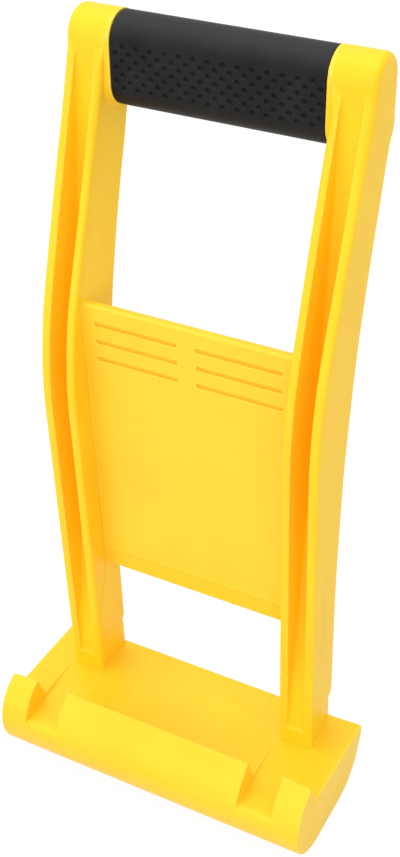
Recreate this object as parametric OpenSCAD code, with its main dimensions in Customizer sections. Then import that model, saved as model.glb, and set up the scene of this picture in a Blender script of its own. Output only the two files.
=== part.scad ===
// Hand carrier for sheets of board: a moulded plastic frame with a rubber grip.
// The board stands on the deck between the lugs and the legs, and the hand goes through the frame.
// Millimetres. X is across the frame, -Y is the board side, +Z is up.

/* [Frame width] */
// Clear width between the two legs
leg_gap = 97.8; // [80:0.2:120]
// Width of one leg across the frame
leg_w = 16.8; // [12:0.2:22]
// How far the base reaches past each leg
end_overhang = 14.3; // [8:0.2:30]

/* [Base] */
// Height of the deck where the front of the legs meets it
deck_h = 31.6; // [27:0.2:38]
// Clear width of the board channel, from the foot of the lugs to the legs
channel_w = 26.9; // [15:0.1:40]
// Thickness of the lugs at their foot
lug_t = 19.4; // [14:0.2:22]
// Height of the lugs above the deck
lug_h = 11.6; // [6:0.2:13]
// Slope of the inner face of the lugs, degrees from upright
lug_slope = 23; // [5:1:35]
// Radius of the top edge of the lugs
lug_edge_r = 1; // [0.5:0.25:3]
// Length of the deck from the front of the legs to the back edge
deck_tail = 26.7; // [22:0.1:34]
// Radius of the rounded front and back of the base
base_r = 24; // [23:0.5:27]
// Fall of the plain strips in front of the legs, degrees below the deck
strip_fall = 4.5; // [1:0.5:7]
// Wall thickness of the hollow base
base_wall = 3; // [2:0.25:5]
// Number of cross ribs between the legs inside the base
inner_ribs = 3; // [1:1:6]

/* [Legs] */
// Forward lean of the panel and of the lower half of the legs, degrees
lean = 2.4; // [0:0.1:5]
// Backward lean of the upper half of the legs, degrees
upper_lean = 17.7; // [10:0.1:22]
// Height of the bend at the front of the legs
front_bend_z = 221; // [205:1:245]
// Radius of that bend
front_bend_r = 175; // [20:5:240]
// Height where the two straight runs of the back edge would cross
back_bend_z = 190; // [170:1:215]
// Radius of the long curve of the back edge
back_bend_r = 640; // [300:10:700]
// Depth of a leg, front to back, at the deck
foot_d = 24; // [18:0.5:26]
// Height of the stepped foot above the deck
foot_h = 18; // [8:1:30]
// Depth of the step at the back of the foot
foot_step = 1.6; // [0.4:0.2:4]
// Thickness of the side walls of a leg
rim_t = 4.2; // [2:0.1:5.5]
// Thickness of the web between the side walls
web_t = 3; // [2:0.25:4.5]
// Depth of the front channel at its lower end
ledge_d = 1.2; // [0.5:0.1:4]
// Height of that lower end above the deck
ledge_h = 10.5; // [6:0.5:20]
// Depth of the front channel where its steep foot ends
knee_d = 8.9; // [5:0.1:12]
// Height of the end of that steep foot above the deck
knee_h = 55.4; // [30:0.2:80]

/* [Panel] */
// Height of the panel
panel_h = 148.4; // [120:0.2:165]
// Thickness of the panel
panel_t = 4.5; // [3:0.25:7]
// Radius of the top edges of the panel
panel_edge_r = 1.2; // [0.3:0.1:1.4]
// How far the panel lies behind the front of the legs
panel_setback = 12.9; // [6:0.1:14]
// Height of the bevelled band along the lower edge
bevel_h = 11.6; // [4:0.2:20]
// How much the band thins the lower edge
bevel_d = 1.2; // [0.4:0.1:2.4]
// Length of one recessed line
line_l = 39.7; // [20:0.1:42]
// Height of one recessed line
line_w = 1.5; // [0.6:0.1:3]
// Depth of one recessed line
line_d = 1.2; // [0.3:0.1:2]
// Distance between the recessed lines
line_pitch = 8.75; // [5:0.05:14]
// Distance from the top edge to the first line
line_top = 8.3; // [5:0.1:20]
// Plain space between the two groups of lines
line_gap = 8.8; // [4:0.2:16]
// Number of lines in a group
line_count = 3; // [1:1:6]

/* [Handle] */
// Height of the middle of the grip
handle_z = 338.1; // [320:0.1:370]
// Height of the grip
grip_h = 38.8; // [34:0.2:46]
// Depth of the grip, front to back
grip_d = 22.7; // [20:0.1:28]
// Thickness of the rubber
rubber_t = 3; // [2:0.25:5]
// Gap between the rubber and the bar inside it
rubber_fit = 0.1; // [0.05:0.05:0.3]
// Wall thickness of the hollow bar inside the rubber
bar_wall = 3; // [2:0.25:5]
// Number of cross ribs inside the bar
bar_ribs = 3; // [1:1:6]
// Width of the collar between a leg and the grip
collar_w = 2.7; // [1:0.1:6]
// Clear height for the hand, from the panel to the grip
hand_gap = 75.1; // [60:0.1:90]
// Radius of the outer edge of the heads
head_edge_r = 1.5; // [0.5:0.25:4]
// Height above the middle of the grip where the rims of the legs run out
rim_end = 5; // [2:0.5:8]
// Depth of the step from the head to the back of the leg
head_step = 4.2; // [3:0.1:8]

/* [Hidden] */
$fn = 64;
yellow = [1.0, 0.84, 0.12];
black = [0.17, 0.17, 0.18];

// Cutting shapes reach this far past the surface that they cut
over = 20;
// Straight pieces in one rounded bend of a leg, and in one rounded edge
bend_steps = 12;
edge_steps = 6;
// How many times longer than wide the taper at the end of a rim is
rim_taper = 4;
// Height of the leg's own stub under the head
head_root = 4;

// Places across the frame, measured from the middle
leg_in = leg_gap / 2;
leg_out = leg_in + leg_w;
base_end = leg_out + end_overhang;
grip_end = leg_in - collar_w;

// The deck falls a little towards the back, square to the panel
function deck_z(y) = deck_h - tan(lean) * y;
function strip_z(y) = deck_h - tan(lean - strip_fall) * y;

// Base: y = 0 is the front of the legs at the deck
lug_foot_y = -channel_w;
base_front_y = lug_foot_y - lug_t;
base_mid_d = channel_w + lug_t + deck_tail - 2 * base_r;
front_round_y = base_front_y + base_r;

// Front edge of the legs, without its bend
bend_front_y = -tan(lean) * (front_bend_z - deck_h);
function front_y(z) = bend_front_y + tan(upper_lean) * (z - front_bend_z);

// Handle, placed by the front edge of the legs
grip_mid = [front_y(handle_z + rim_end) + grip_d / 2, handle_z];
grip_low_z = handle_z - grip_h / 2;
round_z = (grip_h - grip_d) / 2;
head_z = grip_low_z - head_root;
bar_d = grip_d - 2 * (rubber_t + rubber_fit);
bar_h = grip_h - 2 * (rubber_t + rubber_fit);

// Depth at the height z on the straight line through p and q
function between(p, q, z) = p[0] + (q[0] - p[0]) * (z - p[1]) / (q[1] - p[1]);

// Back edge of the legs, aimed at the step under the head
bend_back = [foot_d - tan(lean) * (back_bend_z - deck_z(foot_d)), back_bend_z];
back_top = [grip_mid[0] + grip_d / 2 - head_step, grip_low_z];
function back_y(z) = between(bend_back, back_top, z);

// The web runs steeply back from the front of the foot, then straight to the front of the grip
web_low = [ledge_d - tan(lean) * ledge_h, deck_h + ledge_h];
web_knee = [knee_d - tan(lean) * knee_h, deck_h + knee_h];
web_top = [grip_mid[0] - grip_d / 2, handle_z - round_z];
function web_y(z) = z < web_knee[1] ? between(web_low, web_knee, z) : between(web_knee, web_top, z);
web_depth = web_t * norm(web_top - web_knee) / (web_top[1] - web_knee[1]);

// Panel
panel_top = grip_low_z - hand_gap;
panel_low = panel_top - panel_h;
function panel_y(z) = panel_setback - tan(lean) * (z - deck_h);

// The origin lies under the middle of the whole carrier
origin_y = (base_front_y + grip_mid[0] + grip_d / 2) / 2;

function unit(v) = v / norm(v);

// Points of an arc of radius r that rounds the corner v between p and q
function rounded(p, v, q, r, steps) =
    let (a = unit(p - v), b = unit(q - v), half = acos(a * b) / 2)
    let (mid = v + unit(a + b) * r / sin(half), from = v + a * r / tan(half) - mid)
    let (turn = (180 - 2 * half) * sign(a[0] * b[1] - a[1] * b[0]) * -1)
    [for (i = [0 : steps]) let (t = turn * i / steps)
        mid + [from[0] * cos(t) - from[1] * sin(t), from[0] * sin(t) + from[1] * cos(t)]];

// Carries an outline drawn in Y and Z along X, from x to x + w
module across(x, w) {
    translate([x, 0, 0])
        rotate([90, 0, 90])
            linear_extrude(w)
                children();
}

module on_origin() {
    translate([0, -origin_y, 0]) children();
}

module left_side() {
    mirror([1, 0, 0]) children();
}

module stadium(d, h) {
    for (side = [-1, 1])
        translate([0, side * (h - d) / 2])
            circle(d = d);
    square([d, h - d], center = true);
}

// Outline of the base with both long sides fully round, before the deck is cut
module base_round(r) {
    translate([front_round_y, base_r]) circle(r);
    translate([front_round_y + base_mid_d, base_r]) circle(r);
    translate([front_round_y, base_r - r]) square([base_mid_d, 2 * r]);
}

module below_deck(drop) {
    far = 4 * base_r + base_mid_d;
    polygon([[-far, deck_z(-far) - drop], [far, deck_z(far) - drop], [far, -over], [-far, -over]]);
}

module below_strip(drop) {
    far = 4 * base_r + base_mid_d;
    polygon([[-far, strip_z(-far) - drop], [far, strip_z(far) - drop], [far, -over], [-far, -over]]);
}

module base_outline() {
    intersection() {
        base_round(base_r);
        below_deck(0);
    }
}

// Space inside one cell, open towards the back
module cell_outline() {
    intersection() {
        union() {
            translate([front_round_y, base_r]) circle(base_r - base_wall);
            translate([front_round_y, base_wall]) square([base_mid_d + base_r + over, 2 * base_r]);
        }
        below_deck(base_wall);
    }
}

// The same under a leg, where the strip takes some of the height
module leg_cell_outline() {
    intersection() {
        cell_outline();
        below_strip(base_wall);
    }
}

module strip_outline() {
    reach = base_front_y - over;
    polygon([[0, deck_h], [0, deck_h + over], [reach, deck_h + over], [reach, strip_z(reach)]]);
}

// Cross ribs stand between the legs and under both walls of each leg
rib_pitch = (leg_gap + base_wall) / (inner_ribs + 1);

module base() {
    leg_cell_w = leg_w - 2 * base_wall;
    end_cell_w = end_overhang - base_wall;
    color(yellow)
        on_origin()
            difference() {
                across(-base_end, 2 * base_end) base_outline();
                for (i = [0 : inner_ribs])
                    across(-leg_in + i * rib_pitch, rib_pitch - base_wall) cell_outline();
                for (x = [-leg_out, leg_in]) {
                    across(x, leg_w) strip_outline();
                    across(x + base_wall, leg_cell_w) leg_cell_outline();
                }
                for (x = [base_wall - base_end, leg_out])
                    across(x, end_cell_w) cell_outline();
            }
}

module lug_outline() {
    foot_z = deck_z(lug_foot_y);
    top = [lug_foot_y - lug_h * tan(lug_slope), foot_z + lug_h];
    reach = base_front_y - over;
    intersection() {
        base_round(base_r);
        polygon(concat(
            [[lug_foot_y, foot_z]],
            rounded([lug_foot_y, foot_z], top, [reach, top[1]], lug_edge_r, edge_steps),
            [[reach, top[1]], [reach, deck_z(reach)]]));
    }
}

module right_lug() {
    color(yellow)
        on_origin()
            across(leg_out, end_overhang) lug_outline();
}

module left_lug() {
    left_side() right_lug();
}

module centre_lug() {
    color(yellow)
        on_origin()
            across(-leg_in, leg_gap) lug_outline();
}

// Side view of a leg, from the deck up to the height z
module leg_outline(z) {
    foot_front = [0, deck_h];
    foot_back = [foot_d, deck_z(foot_d)];
    bend_front = [bend_front_y, front_bend_z];
    top_front = [front_y(z), z];
    top_back = [back_y(z), z];
    polygon(concat(
        [foot_front],
        rounded(foot_front, bend_front, top_front, front_bend_r, bend_steps),
        [top_front, top_back],
        rounded(top_back, bend_back, foot_back, back_bend_r, bend_steps),
        [foot_back]));
}

module foot_step_outline() {
    step = [foot_d - foot_step - tan(lean) * foot_h, deck_h + foot_h - 2 * foot_step];
    polygon([[foot_d - foot_step, 0], step, step + [3 * foot_step, 3 * foot_step], [foot_d + over, 0]]);
}

// Everything in front of the web, up to the height z
module front_channel_outline(z) {
    reach = bend_front_y - over;
    polygon([web_low, web_knee, [web_y(z), z], [reach, z], [reach, web_low[1]]]);
}

// Everything behind the web, between the deck and a roof under the head
module back_channel_outline() {
    low = deck_h + web_t;
    roof = head_z - web_t;
    reach = back_y(roof) + over;
    polygon([
        [web_y(low) + web_depth, low], [reach, low], [reach, roof],
        [web_y(roof) + web_depth, roof], web_knee + [web_depth, 0]]);
}

module right_leg() {
    inner_w = leg_w - 2 * rim_t;
    color(yellow)
        on_origin()
            difference() {
                across(leg_in, leg_w)
                    difference() {
                        leg_outline(head_z);
                        foot_step_outline();
                    }
                across(leg_in + rim_t, inner_w) front_channel_outline(head_z + over);
                across(leg_in + rim_t, inner_w) back_channel_outline();
            }
}

module left_leg() {
    left_side() right_leg();
}

// Half of the section of a head, rounded at its outer end
module head_half(r, l) {
    square([r, l - head_edge_r]);
    square([r - head_edge_r, l]);
    translate([r - head_edge_r, l - head_edge_r]) circle(head_edge_r);
}

// Round-ended boss that lies flush with the grip
module head_boss() {
    l = leg_out - grip_end;
    translate([grip_end, grip_mid[0], grip_mid[1]]) {
        for (side = [-1, 1])
            translate([0, 0, side * round_z])
                rotate([0, 90, 0])
                    rotate_extrude()
                        intersection() {
                            head_half(grip_d / 2, l);
                            square([grip_d, 2 * l]);
                        }
        translate([0, 0, -round_z])
            linear_extrude(2 * round_z)
                for (side = [0, 1])
                    mirror([0, side])
                        rotate(90)
                            mirror([0, 1])
                                head_half(grip_d / 2, l);
    }
}

// Upper end of a leg where it runs into the boss
module head_stub_outline() {
    top_z = handle_z + rim_end;
    back_z = grip_low_z + head_root;
    polygon([
        [front_y(head_z), head_z], [front_y(top_z), top_z], [grip_mid[0], top_z],
        [grip_mid[0], back_z], [back_y(back_z), back_z], [back_y(head_z), head_z]]);
}

// The outer rim draws in towards its end, to clear the rounded edge of the boss
module rim_end_cut() {
    top_z = handle_z + rim_end;
    low_z = top_z - rim_taper * head_edge_r;
    depth = 4 * grip_d;
    translate([0, depth, 0])
        rotate([90, 0, 0])
            linear_extrude(2 * depth)
                polygon([
                    [leg_out, low_z], [leg_out + over, low_z], [leg_out + over, top_z + over],
                    [leg_out - head_edge_r, top_z + over], [leg_out - head_edge_r, top_z]]);
}

module right_head() {
    color(yellow)
        on_origin() {
            head_boss();
            difference() {
                across(leg_in, leg_w) head_stub_outline();
                across(leg_in + rim_t, leg_w - 2 * rim_t)
                    front_channel_outline(handle_z + grip_h);
                rim_end_cut();
            }
        }
}

module left_head() {
    left_side() right_head();
}

module panel_outline() {
    low_front = [panel_y(panel_low) + bevel_d, panel_low];
    low_back = [panel_y(panel_low) + panel_t, panel_low];
    bevel = [panel_y(panel_low + bevel_h), panel_low + bevel_h];
    top_front = [panel_y(panel_top), panel_top];
    top_back = top_front + [panel_t, 0];
    polygon(concat(
        [low_front, bevel],
        rounded(bevel, top_front, top_back, panel_edge_r, edge_steps),
        rounded(top_front, top_back, low_back, panel_edge_r, edge_steps),
        [low_back]));
}

module line_outline(z) {
    low = z - line_w;
    reach = panel_y(panel_low) - panel_setback;
    polygon([[reach, low], [reach, z], [panel_y(z) + line_d, z], [panel_y(low) + line_d, low]]);
}

module panel() {
    color(yellow)
        on_origin()
            difference() {
                across(-leg_in, leg_gap) panel_outline();
                for (i = [0 : line_count - 1])
                    for (x = [line_gap / 2, -line_gap / 2 - line_l])
                        across(x, line_l) line_outline(panel_top - line_top - i * line_pitch);
            }
}

// Space inside one cell of the bar, open towards the back
module bar_cell_outline() {
    cell_d = bar_d - 2 * bar_wall;
    cell_h = bar_h - 2 * bar_wall;
    translate(grip_mid) {
        stadium(cell_d, cell_h);
        translate([0, -cell_h / 2]) square([grip_d, cell_h]);
    }
}

// Bar that the rubber is moulded on, hollow from the back with cross ribs
module handle_bar() {
    pitch = (2 * grip_end - bar_wall) / (bar_ribs + 1);
    color(yellow)
        on_origin()
            difference() {
                across(-grip_end, 2 * grip_end)
                    translate(grip_mid)
                        stadium(bar_d, bar_h);
                for (i = [0 : bar_ribs])
                    across(-grip_end + bar_wall + i * pitch, pitch - bar_wall) bar_cell_outline();
            }
}

module grip() {
    color(black)
        on_origin()
            across(-grip_end, 2 * grip_end)
                translate(grip_mid)
                    difference() {
                        stadium(grip_d, grip_h);
                        stadium(grip_d - 2 * rubber_t, grip_h - 2 * rubber_t);
                    }
}

base();
left_lug();
centre_lug();
right_lug();
left_leg();
right_leg();
left_head();
right_head();
panel();
handle_bar();
grip();
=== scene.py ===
# %% [markdown]
# # A hand carrier for sheets of board
# The real object is one yellow plastic moulding with a black rubber grip moulded round its bar.
# The CAD model gives the sizes and places. This lesson puts softer, moulded surfaces over it:
# each piece is a surface worked out with numpy, a function of two parameters on a grid.

# %% Load the CAD frame
import math

import bmesh
import bpy
import numpy as np
from mathutils import Matrix, Vector


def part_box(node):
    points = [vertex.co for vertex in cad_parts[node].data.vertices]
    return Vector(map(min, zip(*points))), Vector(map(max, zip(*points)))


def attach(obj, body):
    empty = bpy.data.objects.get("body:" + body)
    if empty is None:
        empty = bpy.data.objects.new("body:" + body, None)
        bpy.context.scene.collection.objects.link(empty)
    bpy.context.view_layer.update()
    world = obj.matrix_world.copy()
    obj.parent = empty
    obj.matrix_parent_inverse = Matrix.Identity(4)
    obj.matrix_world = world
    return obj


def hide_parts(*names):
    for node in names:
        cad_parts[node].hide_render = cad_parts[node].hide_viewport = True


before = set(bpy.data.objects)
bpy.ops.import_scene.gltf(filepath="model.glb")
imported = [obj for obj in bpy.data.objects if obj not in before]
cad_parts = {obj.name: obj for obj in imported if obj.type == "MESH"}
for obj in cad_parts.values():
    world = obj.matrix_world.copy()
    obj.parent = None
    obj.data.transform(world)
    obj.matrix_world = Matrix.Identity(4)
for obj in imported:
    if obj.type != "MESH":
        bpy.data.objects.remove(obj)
scene = bpy.context.scene
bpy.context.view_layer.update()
print("CAD nodes:", sorted(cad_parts))

# %% [markdown]
# ## Sizes
# The sizes are those of the CAD model, in millimetres, apart from a few that the photo corrects by
# a millimetre or two. They are measured in a frame whose y is zero at the front of the legs, and
# SHIFT carries that frame to the CAD model's origin. Reading some of them from the CAD boxes keeps
# the two models together.

# %% Sizes from the CAD model
MM = 0.001
LEAN_ANGLE, UPPER_ANGLE, STRIP_ANGLE = 2.4, 17.7, 4.5
LEAN, UPPER_LEAN, STRIP_LEAN = (
    math.tan(math.radians(angle))
    for angle in (LEAN_ANGLE, UPPER_ANGLE, LEAN_ANGLE - STRIP_ANGLE))
DECK_H, CHANNEL_W = 31.6, 26.9
LUG_H, LUG_T = 13.2, 19.4
BASE_R, BASE_WALL = 24.0, 3.0
RIM_T, WEB_T = 4.2, 3.0
GRIP_D, GRIP_H, SEAM_GAP = 22.7, 38.8, 0.25

base_box, grip_box, leg_box, panel_box = (
    [np.array(end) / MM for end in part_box(node)]
    for node in ("base", "grip", "right_leg", "panel"))
LEG_IN, LEG_OUT = leg_box[0][0], leg_box[1][0]
BASE_END = base_box[1][0]
SEAM = grip_box[1][0] + SEAM_GAP
GRIP_LOW, GRIP_TOP = grip_box[0][2], grip_box[1][2]
PANEL_LOW, PANEL_TOP = panel_box[0][2], panel_box[1][2]
SHIFT = CHANNEL_W + LUG_T + base_box[0][1]
GRIP_Y = (grip_box[0][1] + grip_box[1][1]) / 2 - SHIFT
GRIP_Z = (GRIP_LOW + GRIP_TOP) / 2
GRIP_FRONT = GRIP_Y - GRIP_D / 2.0
ROUND_Z = (GRIP_H - GRIP_D) / 2
print("leg at x", LEG_IN.round(2), LEG_OUT.round(2), "grip at y, z", GRIP_Y.round(2), GRIP_Z.round(2))


# %% [markdown]
# ## From a grid of points to a Blender mesh
# A piece could be modelled by hand or from Blender's primitives. A grid of points is used here,
# because the rounding of every moulded edge can then be written as a formula.
# The same helper also measures how strongly each point bulges, and keeps that as an attribute
# named edge. The plastic's finish uses it to make the outer edges a little paler: rubbed wear,
# and a painted highlight along them.

# %% Mesh helpers
def ramp(low, high, value):
    """Smooth step: 0 below low, 1 above high, and 3t^2 - 2t^3 between them."""
    t = np.clip((value - low) / (high - low), 0.0, 1.0)
    return t * t * (3.0 - 2.0 * t)


def between(start, full, fade, end, value):
    """A smooth step up from start to full, times a smooth step down from fade to end."""
    return ramp(start, full, value) * (1.0 - ramp(fade, end, value))


WELD, SLIVER, MOST_BULGE = 2e-6, 1e-7, 2.0


def grid_faces(rows, cols, wrap_rows):
    """Quads of a grid of closed rings, each between neighbours in one row and in the next row."""
    i = np.arange(rows if wrap_rows else rows - 1)[:, None]
    j = np.arange(cols)[None, :]
    i2, j2 = (i + 1) % rows, (j + 1) % cols
    corners = [a * cols + b for a, b in ((i, j), (i, j2), (i2, j2), (i2, j))]
    return np.stack(np.broadcast_arrays(*corners), axis=-1).reshape(-1, 4)


def points_of(mesh):
    """The points of a mesh, in mm."""
    place = np.empty(len(mesh.vertices) * 3)
    mesh.vertices.foreach_get("co", place)
    return place.reshape(-1, 3) / MM


def bulge(mesh):
    """Curvature at each point, per mm: how fast the normal turns outwards, as a mean of its edges."""
    place = points_of(mesh)
    count = len(place)
    normal = np.empty(count * 3)
    mesh.vertex_normals.foreach_get("vector", normal)
    normal = normal.reshape(-1, 3)
    ends = np.empty(len(mesh.edges) * 2, np.int32)
    mesh.edges.foreach_get("vertices", ends)
    a, b = ends.reshape(-1, 2).T
    step = place[b] - place[a]
    turn = ((normal[b] - normal[a]) * step).sum(1) / np.maximum((step ** 2).sum(1), 1e-4)
    total = np.bincount(a, turn, count) + np.bincount(b, turn, count)
    edges = np.bincount(a, minlength=count) + np.bincount(b, minlength=count)
    return total / np.maximum(edges, 1)


def keep(mesh, name, values):
    """Keeps one value for each point as an attribute."""
    attribute = mesh.attributes.new(name, "FLOAT", "POINT")
    attribute.data.foreach_set("value", values.astype(np.float32))


def surface(name, grid, finish, nodes=(), glow=None, wrap_rows=False):
    """Makes one piece from a grid of points in mm whose rows are closed rings. With wrap_rows the
    last row joins the first. A glow, the share of painted glow that the finish emits as orange
    light, is a function of the points, kept as an attribute."""
    faces = grid_faces(*grid.shape[:2], wrap_rows)
    points = (grid.reshape(-1, 3) + [0.0, SHIFT, 0.0]) * MM
    mesh = bpy.data.meshes.new(name)
    mesh.vertices.add(len(points))
    mesh.vertices.foreach_set("co", points.astype(np.float32).ravel())
    mesh.loops.add(faces.size)
    mesh.loops.foreach_set("vertex_index", faces.astype(np.int32).ravel())
    mesh.polygons.add(len(faces))
    mesh.polygons.foreach_set("loop_start", np.arange(0, faces.size, 4, dtype=np.int32))
    mesh.update(calc_edges=True)
    whole = bmesh.new()
    whole.from_mesh(mesh)
    bmesh.ops.remove_doubles(whole, verts=whole.verts, dist=WELD)
    bmesh.ops.dissolve_degenerate(whole, edges=whole.edges, dist=SLIVER)
    bmesh.ops.recalc_face_normals(whole, faces=whole.faces)
    whole.to_mesh(mesh)
    whole.free()
    mesh.shade_smooth()
    keep(mesh, "edge", np.clip(bulge(mesh), 0.0, MOST_BULGE))
    if glow:
        keep(mesh, "glow", glow(points_of(mesh) - [0.0, SHIFT, 0.0]))
    piece = bpy.data.objects.new(name, mesh)
    scene.collection.objects.link(piece)
    mesh.materials.append(finish)
    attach(piece, "root")
    if nodes:
        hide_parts(*nodes)
    print(name, len(mesh.vertices), "points,", len(mesh.polygons), "faces")


SIDES = (("right", [1.0, 1.0, 1.0]), ("left", [-1.0, 1.0, 1.0]))
print("smooth step:", ramp(0.0, 1.0, np.linspace(0.0, 1.0, 5)).round(2))

# %% [markdown]
# ## Shader maths as Python
# A finish is a network of nodes. Wiring it by hand hides the formula, so a small class wraps a
# socket: operators on it add Math nodes, and make adds any other node.

# %% The shader wrapper
OBJECT_OUT, FAC_OUT, NORMAL_OUT = 3, 2, 1
MIX_FACTOR, MIX_FIRST, MIX_SECOND, MIX_OUT = 0, 6, 7, 2


class Flow:
    """One output of a shader tree. Operators on it add Math nodes to the same tree."""

    def __init__(self, tree, socket=None):
        self.tree, self.socket = tree, socket

    def make(self, kind, sockets=None, out=0, **settings):
        """Adds a node of a type, sets its settings, then sets or links its sockets."""
        node = self.tree.nodes.new("ShaderNode" + kind)
        for key, value in settings.items():
            setattr(node, key, value)
        for key, value in (sockets or {}).items():
            if isinstance(value, Flow):
                self.tree.links.new(value.socket, node.inputs[key])
            else:
                node.inputs[key].default_value = value
        return Flow(self.tree, node.outputs[out] if node.outputs else None)

    def math(self, operation, *values):
        """Adds a Math node with these values as its inputs."""
        return self.make("Math", dict(enumerate(values)), operation=operation)

    def __add__(self, other):
        return self.math("ADD", self, other)

    def __sub__(self, other):
        return self.math("SUBTRACT", self, other)

    def __rsub__(self, other):
        return self.math("SUBTRACT", other, self)

    def __mul__(self, other):
        return self.math("MULTIPLY", self, other)

    __radd__, __rmul__ = __add__, __mul__

    def __abs__(self):
        return self.math("ABSOLUTE", self)

    def step(self, low, high):
        """0 below low, 1 above high, smooth between them."""
        sockets = {"Value": self, "From Min": low, "From Max": high}
        return self.make("MapRange", sockets, interpolation_type="SMOOTHSTEP")

    def mix(self, first, second):
        """The first colour where this value is 0, and the second where it is 1."""
        sockets = {MIX_FACTOR: self, MIX_FIRST: first, MIX_SECOND: second}
        return self.make("Mix", sockets, MIX_OUT, data_type="RGBA")

    def split(self):
        """The x, y and z of this vector."""
        node = self.make("SeparateXYZ", {0: self}).socket.node
        return [Flow(self.tree, out) for out in node.outputs]


def new_finish(name):
    """An empty material, its shader, the Object coordinates in mm and their x, y and z."""
    finish = bpy.data.materials.new(name)
    finish.use_nodes = True
    tree = finish.node_tree
    flow = Flow(tree)
    place = flow.make("TexCoord", out=OBJECT_OUT)
    mm = flow.make("VectorMath", {0: place, "Scale": 1.0 / MM}, operation="SCALE")
    return finish, tree.nodes["Principled BSDF"], flow, mm, mm.split()


def noise(flow, place, scale, detail=2.0, rough=0.5):
    """Cloudy noise from 0 to 1, with scale in spots per mm."""
    sockets = {"Vector": place, "Scale": scale, "Detail": detail, "Roughness": rough}
    return flow.make("TexNoise", sockets)


def facing(flow, axis):
    """How far the surface faces along one axis, from -1 to 1, from its true normal."""
    return flow.make("NewGeometry", out=NORMAL_OUT).split()[axis]


def connect(flow, shader, height, ior, sheen, **sockets):
    """Links a height in mm to the shader by way of a Bump node, and other values to the sockets
    they are named after. Sheen is the strength of the reflection."""
    bump = {"Strength": 1.0, "Distance": MM, "Height": height}
    sockets["Normal"] = flow.make("Bump", bump)
    for name, value in sockets.items():
        flow.tree.links.new(value.socket, shader.inputs[name.replace("_", " ")])
    shader.inputs["IOR"].default_value = ior
    shader.inputs["Specular IOR Level"].default_value = sheen


print("wrapper:", Flow.__doc__)

# %% [markdown]
# ## The yellow plastic
# The frame is ABS out of a polished and lightly textured mould: a warm yellow with a satin skin.
# A flat colour would look like paint, so the tone drifts a little over the large faces, the sheen
# varies with the flow of the plastic, and the outer edges are rubbed paler, which is wear and also
# a painted highlight. Grooves are painted darker as shade, raised lines get a painted highlight,
# and parts of the legs emit a painted orange glow in place of light bounced in the plastic.
# Each piece adds a relief of its own, such as the lines on the deck.

# %% Yellow plastic
YELLOW = (0.97, 0.62, 0.020, 1.0)
YELLOW_DEEP = (0.95, 0.585, 0.014, 1.0)
# A paler tone for rubbed edges and raised lines: wear, and a painted highlight.
YELLOW_WEAR_AND_HIGHLIGHT = (0.99, 0.76, 0.14, 1.0)
# A darker tone painted into grooves as shade.
YELLOW_GROOVE_SHADE = (0.86, 0.47, 0.008, 1.0)
# The second colour is a painted glow: emitted orange light in place of light bounced in the plastic.
DARK, PAINTED_GLOW_COLOUR = (0.0, 0.0, 0.0, 1.0), (0.10, 0.06, 0.0, 1.0)
DRIFT_SCALE, SCUFF_SCALE, SKIN_SCALE, SKIN_H = 0.018, 0.35, 2.6, 0.012
PLASTIC_ROUGH, PLASTIC_IOR = 0.36, 1.52
# How strongly sunk relief is painted darker as shade, and raised relief paler as a highlight.
GROOVE_SHADE, RIDGE_HIGHLIGHT = -6.0, 5.0


def yellow_plastic(name, relief, pale=0.0, sheen=0.26):
    """Satin ABS: slow change of tone, paler edges that are rubbed wear and a painted highlight, and
    a fine skin. Relief adds height in mm; its grooves get painted shade and its ridges a painted
    highlight. Pale is a share of the paler tone all over. The glow attribute sets a painted orange
    light that the plastic emits."""
    finish, shader, flow, mm, axes = new_finish(name)
    drift = noise(flow, mm, DRIFT_SCALE, 3.0).step(0.3, 0.7)
    scuff = noise(flow, mm, SCUFF_SCALE, 4.0, 0.65).step(0.42, 0.72)
    edge = flow.make("Attribute", out=FAC_OUT, attribute_name="edge").step(0.18, 0.8)
    tone = drift.mix(YELLOW_DEEP, YELLOW)
    # Rubbed edges and the pale share take the paler tone: wear, and a painted highlight on the edges.
    wear_and_painted_light = (edge * (0.25 + scuff * 0.5) + pale).mix(tone, YELLOW_WEAR_AND_HIGHLIGHT)
    skin = noise(flow, mm, SKIN_SCALE, 3.0, 0.6)
    rough = PLASTIC_ROUGH + drift * 0.05 + skin * 0.08 + edge * scuff * 0.06
    raised = relief(flow, mm, axes)
    # Sunk relief gets painted shade, raised relief a painted highlight.
    wear_and_painted_light = (raised * GROOVE_SHADE).step(0.0, 1.0).mix(wear_and_painted_light, YELLOW_GROOVE_SHADE)
    wear_and_painted_light = (raised * RIDGE_HIGHLIGHT).step(0.0, 1.0).mix(wear_and_painted_light, YELLOW_WEAR_AND_HIGHLIGHT)
    # Painted glow: orange light emitted where the glow attribute is set, in place of bounced light.
    glow = flow.make("Attribute", out=FAC_OUT, attribute_name="glow").mix(DARK, PAINTED_GLOW_COLOUR)
    connect(flow, shader, skin * SKIN_H + raised, PLASTIC_IOR, sheen,
            Base_Color=wear_and_painted_light, Roughness=rough, Emission_Color=glow)
    shader.inputs["Emission Strength"].default_value = 1.0
    return finish


# %% Fine lines in the plastic
ACROSS, UPWARDS = 0, 2
LEG_MID, LEG_HALF = (LEG_IN + LEG_OUT) / 2.0, (LEG_OUT - LEG_IN) / 2.0
DECK_LINE_PITCH, DECK_LINE_X, DECK_LINE_D = 4.91, 0.35, 0.055
PART_Y, PART_LOW, PART_HIGH, PART_H = 4.3, 91.0, 244.0, 0.12
PART_FALL, PART_RISE, PART_CURVE = 0.325, 0.159, 0.00544


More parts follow.
